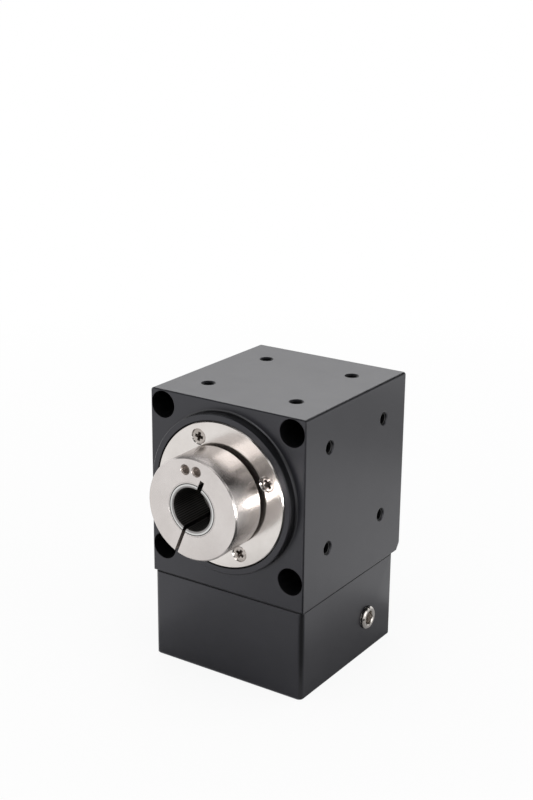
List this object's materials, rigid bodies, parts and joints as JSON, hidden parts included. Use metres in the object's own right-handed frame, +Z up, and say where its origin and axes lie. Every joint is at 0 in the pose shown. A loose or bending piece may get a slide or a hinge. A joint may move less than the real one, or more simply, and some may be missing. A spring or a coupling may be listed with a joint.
{
  "type": "hollow output gear reducer",
  "caption": "Right-angle bevel gear reducer with a hollow output shaft and split clamp collar, tapped mounting faces and a square motor adapter with a clamping input bore.",
  "frame": {"origin": "the point where the output axis and the input axis cross", "axes": "+Y runs back along the output shaft, from the collar to the rear cover; +Z runs up the input axis, away from the motor face; +X is to the right, seen from the output collar"},
  "size_m": [0.0611, 0.0823, 0.0964],
  "materials": {
    "black_anodised": "fine satin black anodised aluminium",
    "nickel_plate": "turned steel with a pale warm nickel plate",
    "shaft_steel": "ground steel",
    "gear_steel": "ground gear steel",
    "carrier_aluminium": "plain turned aluminium",
    "bearing_steel": "polished bearing steel",
    "brass_cage": "machined brass",
    "black_oxide": "black oxide steel",
    "bright_screw": "bright zinc-nickel plated steel",
    "seal_rubber": "black nitrile rubber"
  },
  "bodies": {
    "case": {"gearbox_housing": "black_anodised", "motor_adapter": "black_anodised", "rear_cover": "black_anodised", "pinion_carrier": "carrier_aluminium", "access_plug": "bright_screw", "front_oil_seal": "seal_rubber", "rear_oil_seal": "seal_rubber", "input_oil_seal": "seal_rubber", "front_circlip": "black_oxide", "rear_cover_o_ring": "seal_rubber", "carrier_o_ring": "seal_rubber", "rear_cover_screws": "black_oxide", "carrier_screws": "black_oxide", "adapter_screws": "black_oxide", "front_bearing_outer_ring": "bearing_steel", "rear_bearing_outer_ring": "bearing_steel", "upper_pinion_bearing_outer_ring": "bearing_steel", "lower_pinion_bearing_outer_ring": "bearing_steel"},
    "output_rotor": {"hollow_shaft": "shaft_steel", "output_flange_plate": "nickel_plate", "flange_plate_screws": "bright_screw", "output_collar": "nickel_plate", "output_clamp_screw": "black_oxide", "shaft_spacer": "shaft_steel", "ring_gear": "gear_steel", "gear_key": "shaft_steel", "shaft_locknut": "black_oxide", "front_bearing_inner_ring": "bearing_steel", "rear_bearing_inner_ring": "bearing_steel"},
    "input_rotor": {"pinion_shaft": "shaft_steel", "cone_spacer": "shaft_steel", "pinion_locknut": "black_oxide", "input_collar": "nickel_plate", "input_clamp_screw": "black_oxide", "upper_pinion_bearing_inner_ring": "bearing_steel", "lower_pinion_bearing_inner_ring": "bearing_steel"},
    "front_rollers": {"front_bearing_rollers": "bearing_steel"},
    "rear_rollers": {"rear_bearing_rollers": "bearing_steel", "rear_bearing_cage": "brass_cage"},
    "upper_pinion_rollers": {"upper_pinion_bearing_rollers": "bearing_steel", "upper_pinion_bearing_cage": "brass_cage"},
    "lower_pinion_rollers": {"lower_pinion_bearing_rollers": "bearing_steel", "lower_pinion_bearing_cage": "brass_cage"}
  },
  "joints": [
    {"name": "output_spin", "type": "hinge", "parent": "case", "child": "output_rotor", "pos_m": [0, 0, 0], "axis": [0, 1, 0], "continuous": true},
    {"name": "input_spin", "type": "hinge", "parent": "case", "child": "input_rotor", "pos_m": [0, 0, 0], "axis": [0, 0, 1], "continuous": true},
    {"name": "front_roller_orbit", "type": "hinge", "parent": "case", "child": "front_rollers", "pos_m": [0, 0, 0], "axis": [0, 1, 0], "continuous": true},
    {"name": "rear_roller_orbit", "type": "hinge", "parent": "case", "child": "rear_rollers", "pos_m": [0, 0, 0], "axis": [0, 1, 0], "continuous": true},
    {"name": "upper_pinion_roller_orbit", "type": "hinge", "parent": "case", "child": "upper_pinion_rollers", "pos_m": [0, 0, 0], "axis": [0, 0, 1], "continuous": true},
    {"name": "lower_pinion_roller_orbit", "type": "hinge", "parent": "case", "child": "lower_pinion_rollers", "pos_m": [0, 0, 0], "axis": [0, 0, 1], "continuous": true}
  ],
  "couplings": [
    {"joint": "input_spin", "follows": "output_spin", "ratio": 3},
    {"joint": "front_roller_orbit", "follows": "output_spin", "ratio": 0.45454},
    {"joint": "rear_roller_orbit", "follows": "output_spin", "ratio": 0.43846},
    {"joint": "upper_pinion_roller_orbit", "follows": "output_spin", "ratio": 1.3194},
    {"joint": "lower_pinion_roller_orbit", "follows": "output_spin", "ratio": 1.3194}
  ]
}
